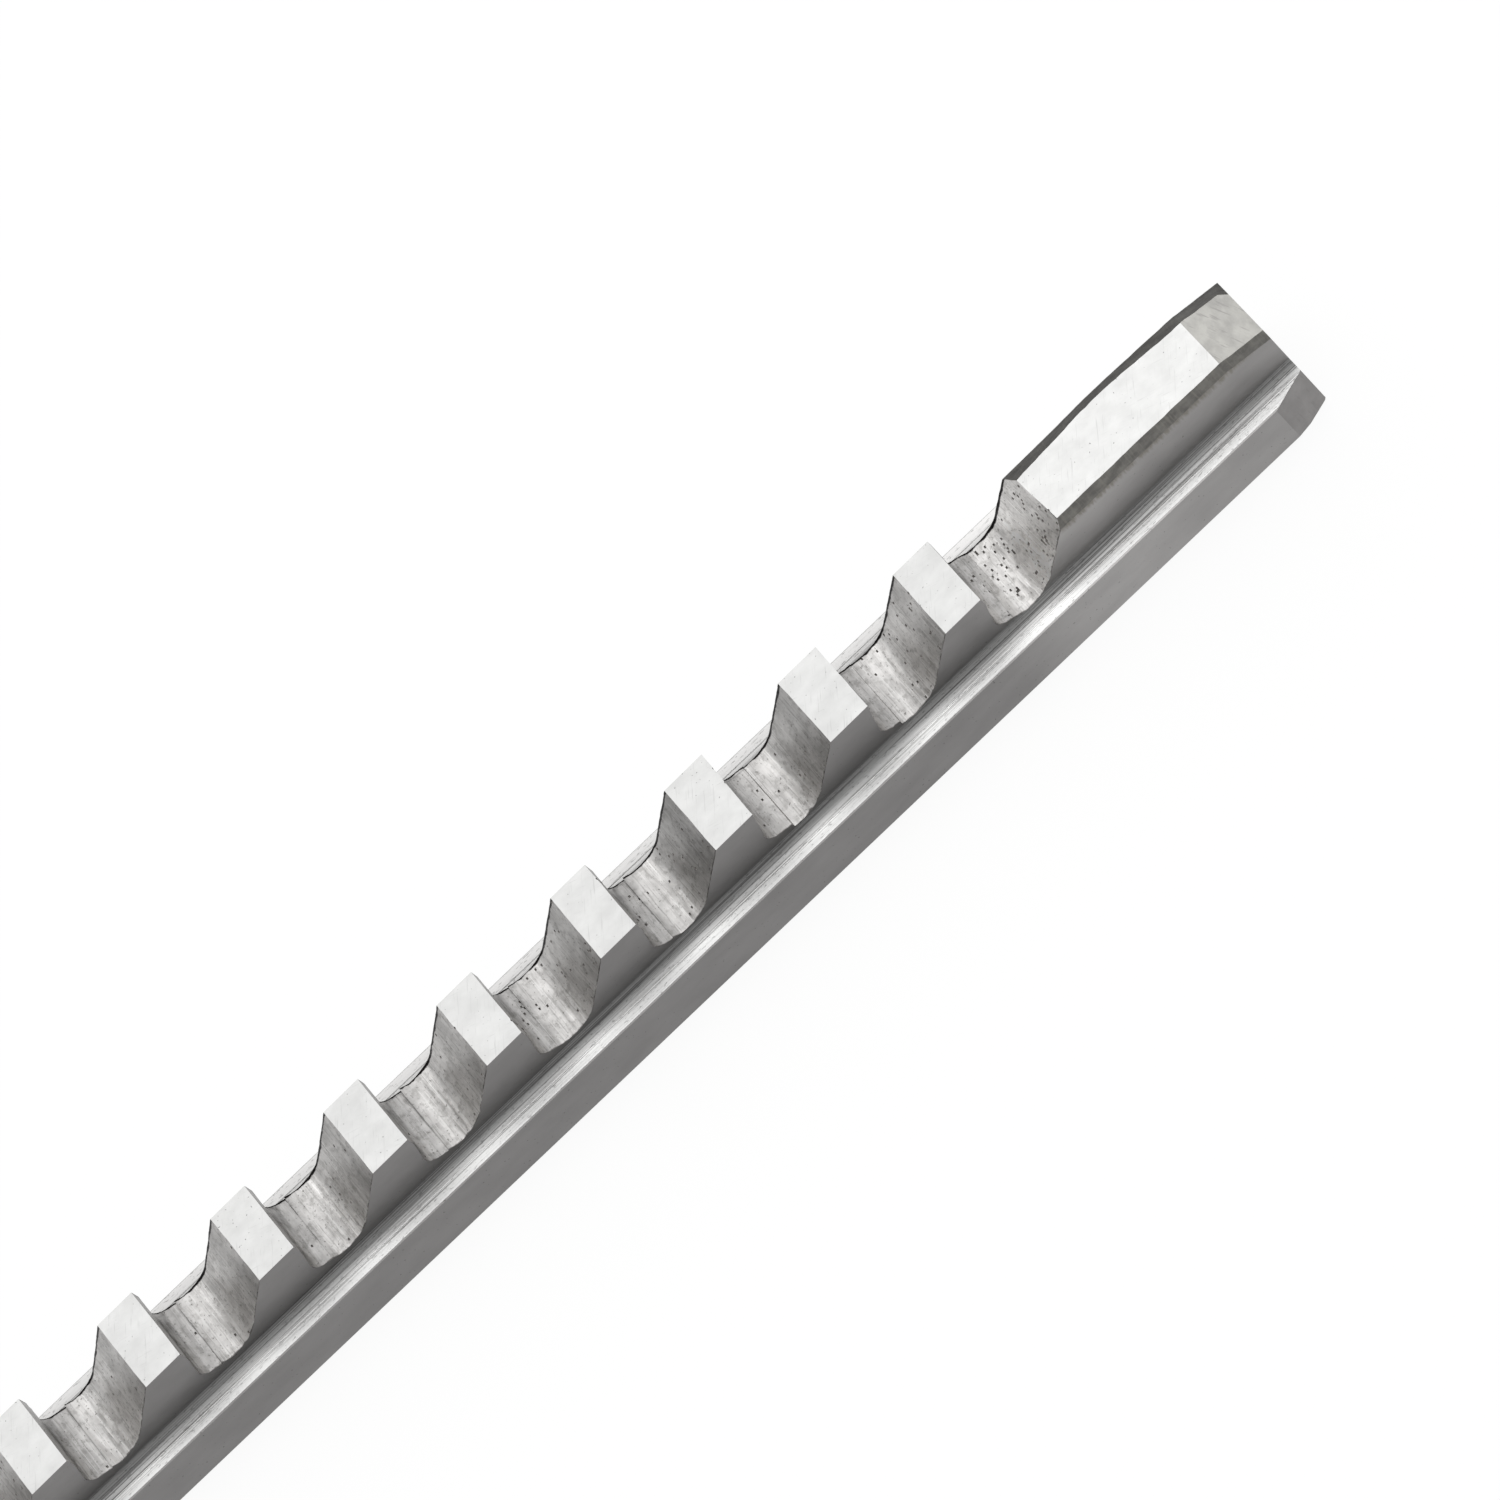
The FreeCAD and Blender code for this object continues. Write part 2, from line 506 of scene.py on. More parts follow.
def slope_x(z):
    return heel_x + (z - heel_z) / math.tan(back_angle)


heel_wheel = wheel_block("heel_wheel", {
    (LEFT, LOW): (heel_wheel_start, floor_z(heel_wheel_start)),
    (RIGHT, LOW): (heel_x, heel_z),
    (LEFT, HIGH): (heel_wheel_start, wheel_lift),
    (RIGHT, HIGH): (slope_x(wheel_lift), wheel_lift),
})
reach = round_corner(heel_x, heel_z, heel_radius, heel_turn, heel_steps)
slice_faces(lambda points: all(near(p.z, floor_z(p.x)) for p in points),
            slices(heel_wheel_start, heel_x - reach * math.cos(floor_angle), ridge), 0)
slice_faces(lambda points: all(near(p.x, slope_x(p.z)) for p in points),
            slices(heel_z + reach * math.sin(back_angle), slices_top, ridge), 2)
slice_across()
finish_edit()
print("heel wheel faces", len(heel_wheel.data.polygons), "heel corner at", heel_x, heel_z)

# %% [markdown]
# ## The root wheel
# The root's floor isn't equally steep in each gullet, because the wheel was dressed by hand
# and set by eye. So the wheel is a function of that fall, and each gullet gets its own.

# %% The root wheel
root_radius = 1.0 * MM
root_steps = 12
root_wheel_stop = 1.6 * MM

# A root's depth is measured this far ahead of the cutting edge.
root_middle_x = 0.35 * MM


def root_wheel(depth, fall):
    """The wheel of hooked face and root, with a root floor that falls at an angle."""
    drop = (depth - root_middle_x * math.tan(fall)) / (
        1 + math.tan(hook_angle) * math.tan(fall))
    corner_x = -drop * math.tan(hook_angle)
    root_turn = math.pi / 2 + hook_angle - fall

    def root_floor_z(x):
        return -depth - (x - root_middle_x) * math.tan(fall)

    wheel = wheel_block("root_wheel", {
        (LEFT, LOW): (corner_x, -drop),
        (RIGHT, LOW): (root_wheel_stop, root_floor_z(root_wheel_stop)),
        (LEFT, HIGH): (wheel_lift * math.tan(hook_angle), wheel_lift),
        (RIGHT, HIGH): (root_wheel_stop, wheel_lift),
    })
    reach = round_corner(corner_x, -drop, root_radius, root_turn, root_steps)
    slice_faces(lambda points: all(near(p.z, root_floor_z(p.x)) for p in points),
                slices(corner_x + reach * math.cos(fall), root_wheel_stop, ridge), 0)
    slice_faces(lambda points: all(near(p.x, p.z * math.tan(hook_angle)) for p in points),
                slices(-drop + reach * math.cos(hook_angle), slices_top, hook_ridge), 2)
    slice_across()
    finish_edit()
    return wheel


# %% [markdown]
# ## Settings for each gullet
# No two gullets are alike. The step in the floor lies nearer to the root or further from it,
# and is sharp or ground down to a ramp. The first gullet is deeper on its near side, and most
# roots are deeper on their far side. The nine lines below follow the nine gullets that show
# best, and the others take them in turn.

# %% Settings for each gullet
settings = (
    # step place, depth of the root (mm), lean of the step, fall of the root, tilt (degrees)
    (0.40, 4.62, 60, 20, 0),
    (0.66, 4.44, 3, 6, 3),
    (1.12, 4.42, 8, 12, 3),
    (0.60, 4.68, 60, 19, 2),
    (0.42, 4.70, 60, 20, 1),
    (0.80, 4.70, 60, 18, 2),
    (0.55, 4.71, 60, 20, 1),
    (0.75, 4.73, 60, 19, 1),
    (0.95, 4.74, 60, 19, 1),
)
first_gullet_tilt = math.radians(4.5)
first_gullet_lift = 0.15 * MM
pass_overlap = 0.05 * MM


def set_up(wheel, tooth, tilt=0.0):
    """Puts a wheel at a tooth, tilted so that its near side stays as deep as it was meant."""
    wheel.location = (edge_x(tooth), 0, edge_z(tooth) - rib_half * math.tan(tilt))
    wheel.rotation_euler.x = -tilt
    if tooth == 0:
        wheel.location.z += first_gullet_lift
        wheel.rotation_euler.x = first_gullet_tilt
    only(wheel)
    bpy.ops.object.transform_apply(location=True, rotation=True, scale=True)
    return wheel


print("gullets with settings of their own", len(settings))

# %% [markdown]
# ## Setting the wheels at every tooth
# Each gullet gets a copy of the heel wheel, cut off at the step with a plane, and a root wheel
# of its own that ends just past the step, so that no thin wall is left between the two.

# %% Setting the wheels at every tooth
heel_cutters = []
root_cutters = []
for tooth in range(tooth_count):
    step_x, depth, lean, fall, tilt = settings[tooth % len(settings)]
    step_x *= MM
    depth *= MM
    lean, fall, tilt = [math.radians(angle) for angle in (lean, fall, tilt)]

    heel = heel_wheel.copy()
    heel.data = heel_wheel.data.copy()
    bpy.context.scene.collection.objects.link(heel)
    edit(heel)
    bpy.ops.mesh.select_all(action="SELECT")
    slice_at((step_x, 0, -depth), (math.cos(lean), 0, math.sin(lean)),
             use_fill=True, clear_inner=True)
    finish_edit()
    heel_cutters.append(set_up(heel, tooth))

    root = root_wheel(depth, fall)
    edit(root)
    bpy.ops.mesh.select_all(action="SELECT")
    slice_at((step_x + pass_overlap, 0, 0), (1, 0, 0), use_fill=True, clear_outer=True)
    finish_edit()
    root_cutters.append(set_up(root, tooth, tilt))
bpy.data.objects.remove(heel_wheel)


def join(pieces, name):
    """Joins separate solids into one object."""
    bpy.ops.object.select_all(action="DESELECT")
    for piece in pieces:
        piece.select_set(True)
    bpy.context.view_layer.objects.active = pieces[0]
    bpy.ops.object.join()
    bpy.context.object.name = name
    return bpy.context.object


heel_pass = join(heel_cutters, "heel_pass")
root_pass = join(root_cutters, "root_pass")
print("heel pass faces", len(heel_pass.data.polygons), "root pass", len(root_pass.data.polygons))

# %% [markdown]
# ## Grinding marks
# A wheel that travels across the rib leaves ridges that run straight across it. A cloud pattern
# gives them when its coordinates are squeezed along the bar and drawn out across it. A Displace
# modifier reads those coordinates from a scaled empty, which goes once the modifier is applied.

# %% Grinding marks


def roughen(obj, size, strength):
    """Moves a surface in and out by a cloud pattern of a size along x, y and z."""
    clouds = bpy.data.textures.new("grinding_marks", "CLOUDS")
    clouds.noise_scale = 1
    clouds.noise_depth = 3
    ruler = bpy.data.objects.new("ruler", None)
    ruler.scale = size
    bpy.context.scene.collection.objects.link(ruler)
    bpy.context.view_layer.update()
    marks = obj.modifiers.new("marks", "DISPLACE")
    marks.texture = clouds
    marks.texture_coords = "OBJECT"
    marks.texture_coords_object = ruler
    marks.mid_level = 0.5
    marks.strength = strength
    only(obj)
    bpy.ops.object.modifier_apply(modifier=marks.name)
    bpy.data.objects.remove(ruler)
    bpy.data.textures.remove(clouds)


ridge_size = (0.3 * MM, 5 * MM, 0.3 * MM)
ridge_height = 0.06 * MM
wave_size = (1.4 * MM, 2.2 * MM, 1.4 * MM)
wave_height = 0.08 * MM

for ground in (heel_pass, root_pass):
    roughen(ground, ridge_size, ridge_height)
    roughen(ground, wave_size, wave_height)
print("ridges", ridge_height, "waves", wave_height)

# %% [markdown]
# ## Pits
# The gullets keep pits where the bar's forging scale wasn't ground away. Single faces of the
# wheel are picked by a seeded draw, thickest where a noise pattern is high, and are inset
# outwards. Each becomes a small stud on the wheel, and so a pit in the metal.

# %% Pits
# The share of a gullet's cells that are pits, for the gullets that differ from the usual.
pit_share = {0: 0.085, 1: 0.03, 3: 0.02, 4: 0.04, 7: 0.003, 8: 0.003}
usual_share = 0.01
patch_size = 1.3 * MM
patch_middle = 0.5
patch_contrast = 1.6
pit_margin = 0.15 * MM
pit_wall = 0.04 * MM
pit_depth = 0.05 * MM
draw = random.Random(5)


def pit_here(points):
    """True for a seeded share of the cells inside the rib, more of them in patches."""
    middle = sum(points, Vector()) / len(points)
    tooth = math.floor((first_edge_x - middle.x) / pitch) + 1
    patch = patch_middle + patch_contrast * noise.noise(middle / patch_size)
    chance = pit_share.get(tooth, usual_share) * max(0, patch)
    inside = abs(middle.y) < rib_half - pit_margin and len(points) == 4
    return draw.random() < chance and inside


for ground in (heel_pass, root_pass):
    edit(ground)
    count = pick("FACE", pit_here)
    paint(PIT)
    bpy.ops.mesh.inset(thickness=pit_wall, depth=pit_depth, use_individual=True)
    finish_edit()
    print("pits", count)

# %% [markdown]
# ## Grinding every gullet
# Two Booleans take the passes away from the bar, one after the other, as on the grinder.

# %% Grinding every gullet


def take_away(tool):
    """Cuts a tool's solid out of the bar and removes the tool."""
    cut = bar.modifiers.new("cut", "BOOLEAN")
    cut.operation = "DIFFERENCE"
    cut.solver = "MANIFOLD"
    cut.object = tool
    only(bar)
    bpy.ops.object.modifier_apply(modifier=cut.name)
    bpy.data.objects.remove(tool)


take_away(heel_pass)
take_away(root_pass)
print("faces after grinding", len(bar.data.polygons))

# %% [markdown]
# ## Flats ground by hand on the pilot
# The two long top corners of the pilot were taken off by hand on a belt, so their edges wander.
# A long block stands on each flat with its lower face sliced and roughened, and is cut away.
# The far flat is narrow in its middle, where the belt was pressed less. There the block's lower
# face is pulled up with proportional editing, so the rise fades out to both ends.

# %% Flats ground by hand on the pilot
flat_overrun = 2 * MM
flat_start_x = first_edge_x + gullet_mouth / 2
flat_stop_x = front_x + flat_overrun
block_height = 2 * MM
row = 0.4 * MM
column = 0.25 * MM
long_waves = (3 * MM, 3 * MM, 3 * MM)
short_waves = (0.6 * MM, 1.5 * MM, 1.5 * MM)

# The middle of the spared stretch, measured from the start of the tip's bevel, and how far from
# there the rise fades out.
spared_x = -6.8 * MM
spared_reach = 9 * MM


def hand_flat(side, width, depth, waviness, slope, spared):
    """Grinds one long top corner of the pilot down to a flat that takes width and depth away.
    A slope turns the whole flat down about the start of the tip's bevel. The block rises by
    spared in the middle of the spared stretch."""
    length = 2 * (flat_stop_x - flat_start_x)
    span = 2 * math.hypot(width, depth)
    bpy.ops.object.select_all(action="DESELECT")
    bpy.ops.mesh.primitive_cube_add(size=1, scale=(length, span, block_height))
    block = bpy.context.object
    list_finishes(block, HAND)
    bpy.ops.object.transform_apply(location=False, rotation=False, scale=True)
    edit(block)
    slice_faces(lambda points: True, slices(-length / 2, length / 2, row), 0)
    slice_faces(lambda points: True, slices(-span / 2, span / 2, column), 1)
    bpy.ops.mesh.select_all(action="SELECT")
    slice_at((flat_start_x - bevel_start_x, 0, 0), (1, 0, 0), use_fill=True, clear_inner=True)
    pick("VERT", lambda points: abs(points[0].x - spared_x) < row / 2
         and near(points[0].z, -block_height / 2))
    bpy.ops.transform.translate(value=(0, 0, spared), use_proportional_edit=True,
                                proportional_edit_falloff="SMOOTH",
                                proportional_size=spared_reach)
    finish_edit()
    middle = Vector((bevel_start_x, side * (rib_half - width / 2), pilot_top_z - depth / 2))
    lift = Matrix.Translation((0, 0, block_height / 2))
    lean = Matrix.Rotation(-side * math.atan2(depth, width), 4, "X")
    block.matrix_world = (
        Matrix.Translation(middle) @ Matrix.Rotation(slope, 4, "Y") @ lean @ lift)
    only(block)
    bpy.ops.object.transform_apply(location=True, rotation=True, scale=True)
    roughen(block, long_waves, waviness)
    roughen(block, short_waves, waviness / 3)
    take_away(block)


# %% [markdown]
# ## Near and far flat
# The near flat is narrow and the far one is wide. Each is ground twice: once level, and once
# more along the slope of the tip's bevel, so that it keeps its width there.

# %% Near and far flat
near_side, far_side = -1, 1
bevel_slope = math.atan2(bevel_drop, front_x - bevel_start_x)

for slope in (0, bevel_slope):
    hand_flat(near_side, width=0.55 * MM, depth=0.57 * MM, waviness=0.10 * MM,
              slope=slope, spared=0)
    hand_flat(far_side, width=1.25 * MM, depth=0.8 * MM, waviness=0.15 * MM,
              slope=slope, spared=0.23 * MM)
print("faces with the pilot flats", len(bar.data.polygons))

# %% [markdown]
# ## Chips in the cutting edges
# A few cutting edges have lost small grains near their corners, most of all the first one. Each
# chip is a small ball taken away where the edge runs, and its broken face is dull.

# %% Chips in the cutting edges
chips = (
    # tooth, place across the rib, radius (mm)
    (0, -2.90, 0.22), (0, -2.45, 0.15), (0, -2.10, 0.12), (0, -1.75, 0.08), (0, -1.40, 0.10),
    (3, -2.95, 0.10), (4, 2.60, 0.09), (6, -2.70, 0.08), (8, -2.30, 0.20), (8, -2.90, 0.15),
)

# A ball's middle lies ahead of the edge and above it by these shares of its radius.
ball_ahead = 0.1
ball_above = 0.2

balls = []
for tooth, y, radius in chips:
    x = edge_x(tooth) + ball_ahead * radius * MM
    z = edge_z(tooth) + ball_above * radius * MM
    bpy.ops.object.select_all(action="DESELECT")
    bpy.ops.mesh.primitive_ico_sphere_add(
        subdivisions=2, radius=radius * MM, location=(x, y * MM, z))
    list_finishes(bpy.context.object, PIT)
    balls.append(bpy.context.object)
chip_balls = join(balls, "chip_balls")
bpy.ops.object.transform_apply(location=True, rotation=True, scale=True)
take_away(chip_balls)
print("chips", len(chips))

# %% [markdown]
# ## Finishes by place
# The wheels and blocks have left their finish on the metal. The bar's own faces get theirs from
# which way they look and how high they lie.

# %% Finishes by place

# How far up a face's normal points when the face is level, slanting or turned up at all
LEVEL, SLANTING, UPWARD = 0.9, 0.3, 0.02


def own(points_test, normal_test, finish):
    """Paints the bar's own faces that pass both tests, and leaves what tools have cut."""
    count = 0
    for face in bar.data.polygons:
        if face.material_index == SATIN and points_test(face.center) and normal_test(face.normal):
            face.material_index = finish
            count += 1
    return count


above_ledge = body_height + fillet_radius + 0.3 * MM
counts = {
    "tip": own(lambda c: c.x > bevel_start_x and c.z > above_ledge,
               lambda n: n.z > LEVEL, BELT),
    "facet": own(lambda c: c.x > bevel_start_x and c.z > above_ledge,
                 lambda n: n.z > SLANTING, HAND),
    "tops": own(lambda c: c.z > above_ledge,
                lambda n: n.z > LEVEL, BRIGHT),
    "leads": own(lambda c: c.x > front_x - side_lead_length,
                 lambda n: 0.2 < n.x < 0.5, DISC),
    "ledges": own(lambda c: c.z > body_height - crown_drop and abs(c.y) < ledge_edge,
                  lambda n: n.z > UPWARD, DRAWN),
    "far break": own(lambda c: c.z > body_height - ledge_break and c.y > ledge_edge,
                     lambda n: n.z > SLANTING, DRAWN),
}
print("faces by finish", counts)

# %% [markdown]
# ## A tone for each gullet
# The back slopes differ in brightness. A face attribute holds each gullet's tone, and the
# gullets' material reads it later.

# %% A tone for each gullet

# How bright each gullet's back slope is, from the pilot on. The others have the usual tone.
slope_tones = (1.2, 0.83, 0.66, 0.53, 0.68, 0.77, 0.77, 0.76, 0.8)
usual_tone = 0.75
tones = []
for face in bar.data.polygons:
    tooth = math.floor((first_edge_x + gullet_mouth - face.center.x) / pitch)
    tones.append(slope_tones[tooth] if 0 <= tooth < len(slope_tones) else usual_tone)
bar.data.attributes.new("slope_tone", "FLOAT", "FACE").data.foreach_set("value", tones)
print("tones from", min(tones), "to", max(tones))

# %% [markdown]
# ## Shading and hand-over
# Curved stretches are shaded smooth, while every edge sharper than the limit stays crisp. Then
# the bar takes the place of the CAD solid, which is hidden: it rides on the same body.

# %% Shading and hand-over
smooth_limit = math.radians(28)

only(bar)
bpy.ops.object.shade_smooth_by_angle(angle=smooth_limit)
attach(bar, "root")
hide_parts("broach")
print("finished faces", len(bar.data.polygons))

# %% [markdown]
# ## Camera
# A long lens looks down on the bar from its near side at about 60 degrees, and is turned so
# that the bar runs up the picture to the right.

# %% Camera
camera_data = bpy.data.cameras.new("camera")
camera = bpy.data.objects.new("camera", camera_data)
bpy.context.scene.collection.objects.link(camera)
camera_data.sensor_width = 36
camera_data.lens = 206.58
camera_data.clip_start = 0.01
camera_place = Vector((0.144448, -0.283415, 0.501822))
camera_back = Vector((0.06812, -0.49989, 0.86341)).normalized()
camera_up = Vector((0.68797, 0.65030, 0.32223)).normalized()
camera_right = camera_up.cross(camera_back)
turn = Matrix((camera_right, camera_up, camera_back)).transposed()
camera.matrix_world = Matrix.Translation(camera_place) @ turn.to_4x4()
bpy.context.scene.camera = camera
print("camera looks down at", round(math.degrees(math.asin(camera_back.z)), 1), "degrees")

# %% [markdown]
# ## Building materials from nodes
# One function turns hex colours to linear and one adds a node with its settings and links.

# %% Helpers for materials


def linear(code):
    """An sRGB hex colour as linear RGBA."""
    parts = [int(code[i:i + 2], 16) / 255 for i in (1, 3, 5)]
    return [p / 12.92 if p <= 0.04045 else ((p + 0.055) / 1.055) ** 2.4 for p in parts] + [1]


def add(tree, kind, sockets=None, **settings):
    """Adds a node. A socket gets a value, another node's output, or a node's only output."""
    made = tree.nodes.new("ShaderNode" + kind)
    for name, value in settings.items():
        setattr(made, name, value)
    for name, value in (sockets or {}).items():
        if isinstance(value, bpy.types.Node):
            value = next(output for output in value.outputs if output.enabled)
        if isinstance(value, bpy.types.NodeSocket):
            tree.links.new(value, made.inputs[name])
        else:
            made.inputs[name].default_value = value
    return made


# %% [markdown]
# ## Recipes for finishes
# Each finish needs the same few things: a metal shader, a pattern with a real size, a tint
# where a pattern is high, and a tone that follows a place on the tool, which paints in shade.

# %% Recipes for finishes


def metal(finish, roughness):
    """Starts a finish: a metal shader with one roughness."""
    finishes[finish].use_nodes = True
    tree = finishes[finish].node_tree
    shader = tree.nodes["Principled BSDF"]
    shader.inputs["Metallic"].default_value = 1
    shader.inputs["Roughness"].default_value = roughness
    return tree, shader


def place_on(tree):
    """Where a point lies on the tool, as outputs X, Y and Z in metres."""
    return add(tree, "SeparateXYZ", {0: add(tree, "TexCoord").outputs["Object"]}).outputs


def grain(tree, size, detail=3, turn=0):
    """A pattern around 0.5 whose blotches measure size millimetres along x, y and z."""
    place = add(tree, "TexCoord").outputs["Object"]
    turned = add(tree, "Mapping", {"Vector": place, "Rotation": (0, 0, math.radians(turn))})
    sized = add(tree, "Mapping", {"Vector": turned, "Scale": [1 / (s * MM) for s in size]})
    noise_sockets = {"Vector": sized, "Scale": 1, "Detail": detail, "Roughness": 0.6}
    return add(tree, "TexNoise", noise_sockets).outputs["Fac"]


def tint(tree, base, pattern, start, stop, code, most=1):
    """Mixes a hex colour in where a pattern rises from start to stop."""
    share = add(tree, "MapRange", {0: pattern, 1: start, 2: stop, 3: 0, 4: most})
    return add(tree, "Mix", {0: share, 6: base, 7: linear(code)}, data_type="RGBA")


def tone_along(tree, base, place, tones):
    """Multiplies a colour by tones from 0 to 1, given at places in millimetres."""
    start, stop = tones[0][0], tones[-1][0]
    share = add(tree, "MapRange", {0: place, 1: start * MM, 2: stop * MM})
    ramp = add(tree, "ValToRGB", {0: share})
    stops = ramp.color_ramp.elements
    while len(stops) < len(tones):
        stops.new(0.5)
    for stop_at, (at, tone) in zip(stops, tones):
        stop_at.position = (at - start) / (stop - start)
        stop_at.color = (tone, tone, tone, 1)
    return add(tree, "Mix", {0: 1, 6: base, 7: ramp.outputs["Color"]},
               data_type="RGBA", blend_type="MULTIPLY")


def finish_metal(tree, shader, base, *heights):
    """Links the colour, raises the surface by (pattern, height in millimetres) pairs and prints
    what the finish is made of."""
    normal = {}
    for pattern, height in heights:
        bump = add(tree, "Bump", {"Height": pattern, "Distance": height * MM, **normal})
        normal = {"Normal": bump}
    tree.links.new(base.outputs[2], shader.inputs["Base Color"])
    tree.links.new(bump.outputs["Normal"], shader.inputs["Normal"])
    print(len(tree.nodes), "nodes, roughness", round(shader.inputs["Roughness"].default_value, 2))


# %% [markdown]
# ## Satin ground sides
# High speed steel, surface ground along its length and then dulled by handling. The eye sees a
# soft grey with hardly visible lengthwise lines. The grit leaves lines of a few hundredths of
# a millimetre, which are drawn 0.12 mm wide here so that they show. The toothed stretch is
# painted darker than the pilot, most of all just above the fillet, as painted shade.

# %% Satin ground sides
tree, shader = metal(SATIN, 0.38)
place = place_on(tree)
cloud = grain(tree, (5, 2, 2))
speck = grain(tree, (0.25, 0.2, 0.2), detail=1)
lines = grain(tree, (10, 0.12, 0.12), detail=2)
stroke = grain(tree, (0.25, 1, 1.6), detail=2)

base = tint(tree, linear("#AEACAB"), cloud, 0.3, 0.7, "#BAB8B7")
base = tint(tree, base, speck, 0.72, 0.78, "#7C7A78")
# Painted shade: darkest just above the fillet, and darker along the teeth than on the pilot.
base = tone_along(tree, base, place["Z"], (
    (0, 0.78), (5.0, 0.78), (6.0, 0.82), (6.5, 0.74), (7.3, 0.72), (8.5, 0.78), (10.6, 0.82)))
base = tone_along(tree, base, place["X"], (
    (117, 0.55), (122, 0.58), (127, 0.86), (133, 0.92), (138, 0.8), (149, 0.78)))

# The belt that ground the pilot's corner flat has also brushed the side below it.
below_flat = add(tree, "MapRange", {
    0: place["Z"], 1: pilot_top_z - 1.7 * MM, 2: pilot_top_z - 0.6 * MM})
on_pilot = add(tree, "MapRange", {
    0: place["X"], 1: first_edge_x + gullet_mouth - 1 * MM, 2: first_edge_x + gullet_mouth})
brushed = add(tree, "Math", {0: below_flat, 1: on_pilot}, operation="MULTIPLY")
brushed = add(tree, "Math", {0: brushed, 1: stroke}, operation="MULTIPLY")
base = tint(tree, base, brushed, 0.22, 0.5, "#77736C", most=0.9)
finish_metal(tree, shader, base, (lines, 0.0012), (cloud, 0.02))

# %% [markdown]
# ## Bright ground lands
# The lands and the pilot's top come from the last, finest pass of the surface grinder, so they
# are the brightest faces. Over them lie faint slanting scratches and a few small nicks from use.

# %% Bright ground lands
tree, shader = metal(BRIGHT, 0.3)
place = place_on(tree)
cloud = grain(tree, (1.8, 1.2, 1.2))
scratch = grain(tree, (0.1, 2.5, 1), detail=2, turn=35)
fine_scratch = grain(tree, (1.6, 0.08, 1), detail=1, turn=20)
nick = grain(tree, (0.2, 0.2, 0.2), detail=1)

base = tint(tree, linear("#C2C2C1"), cloud, 0.3, 0.7, "#CECECD")
base = tint(tree, base, scratch, 0.62, 0.72, "#A9A9A8", most=0.5)
base = tint(tree, base, fine_scratch, 0.68, 0.78, "#B0B0AF", most=0.5)
base = tint(tree, base, nick, 0.74, 0.78, "#868685")
# Painted shade: the lands grow a little darker towards the rear, where less of the softbox shows
# in them.
base = tone_along(tree, base, place["X"], ((124, 0.93), (131, 1.0)))
finish_metal(tree, shader, base, (scratch, 0.002), (cloud, 0.01))

# %% [markdown]
# ## Draw ground ledges
# A cup wheel was drawn along the ledges and fillets, so fine lines run the whole length. The
# open ledge shines evenly. Its outer half and the far ledge are painted lighter, as painted
# highlight, and the fillet is painted darker towards the rib, as painted shade of the corner.
# The ledges are also painted a little darker towards the rear, as painted shade. The lines are
# drawn 0.09 mm wide, as fine as the render can show.
# Short dark specks lie among them, where grit has torn the surface.

# %% Draw ground ledges
tree, shader = metal(DRAWN, 0.55)
place = place_on(tree)
outward = add(tree, "Math", {0: place["Y"]}, operation="ABSOLUTE")
lines = grain(tree, (25, 0.09, 0.09), detail=3)
smudge = grain(tree, (3, 0.5, 0.5))
speck = grain(tree, (0.45, 0.1, 0.1), detail=2)

base = tint(tree, linear("#A9A8A7"), lines, 0.38, 0.52, "#FFFFFE")
# Painted highlight on the ledges' outer half, and painted light on the far ledge and fillet.
base = tint(tree, base, outward, 4.05 * MM, 4.25 * MM, "#FAFAF9", most=0.75)
base = tint(tree, base, place["Y"], 0, 0.1 * MM, "#F2F1F0", most=0.8)
base = tint(tree, base, smudge, 0.62, 0.75, "#C4C3C2", most=0.5)
base = tint(tree, base, speck, 0.6, 0.68, "#989796", most=0.6)
# Painted shade: the fillets darken towards the rib.
base = tone_along(tree, base, place["Y"], (
    (-4.7, 0.88), (-4.3, 0.88), (-4.1, 0.97), (-3.97, 1.0), (-3.9, 0.95), (-3.8, 0.71),
    (-3.6, 0.54), (-3.5, 0.46), (-3.3, 0.5), (-3.1, 0.37), (-2.98, 0.28),
    (2.98, 0.45), (3.4, 0.58), (3.85, 0.68), (4.2, 0.73), (4.7, 0.78)))
# Painted shade: the ledges grow a little darker towards the rear.
base = tone_along(tree, base, place["X"], ((118, 0.86), (127, 1.0)))
finish_metal(tree, shader, base, (lines, 0.006))

# %% [markdown]
# ## Wheel ground gullets
# A shaped wheel was fed across the rib, so all its lines run across. It cuts coarser than the
# surface grinder, which gives a mottled light grey. Painted shade darkens the root and the foot
# of the hooked face and leaves the heel lightest, and thin lines of painted shade run along the
# rims.

# %% Wheel ground gullets
tree, shader = metal(WHEEL, 0.42)
place = place_on(tree)
mottle = grain(tree, (1.1, 1.4, 1.1))
blotch = grain(tree, (0.5, 0.6, 0.5))
streak = grain(tree, (0.14, 3, 0.14), detail=2)
bright_streak = grain(tree, (0.1, 5, 0.1), detail=1)
fleck = grain(tree, (0.16, 0.22, 0.16), detail=2)

base = tint(tree, linear("#DEDCDA"), mottle, 0.35, 0.65, "#FCFAF8")
base = tint(tree, base, blotch, 0.52, 0.66, "#BAB8B5", most=0.6)
base = tint(tree, base, streak, 0.56, 0.68, "#AAA8A5", most=0.5)
base = tint(tree, base, bright_streak, 0.6, 0.68, "#FFFEFC", most=0.7)
base = tint(tree, base, fleck, 0.62, 0.72, "#82807D", most=0.8)

# How far a point lies ahead of its tooth's cutting edge, from the root to the next land. It
# starts again at each tooth, just past the mouth of the gullet.
starts_again = gullet_mouth + 1 * MM
ahead = add(tree, "Math", {0: place["X"], 1: first_edge_x}, operation="SUBTRACT")
ahead = add(tree, "Math", {0: ahead, 1: starts_again, 2: starts_again - pitch}, operation="WRAP")
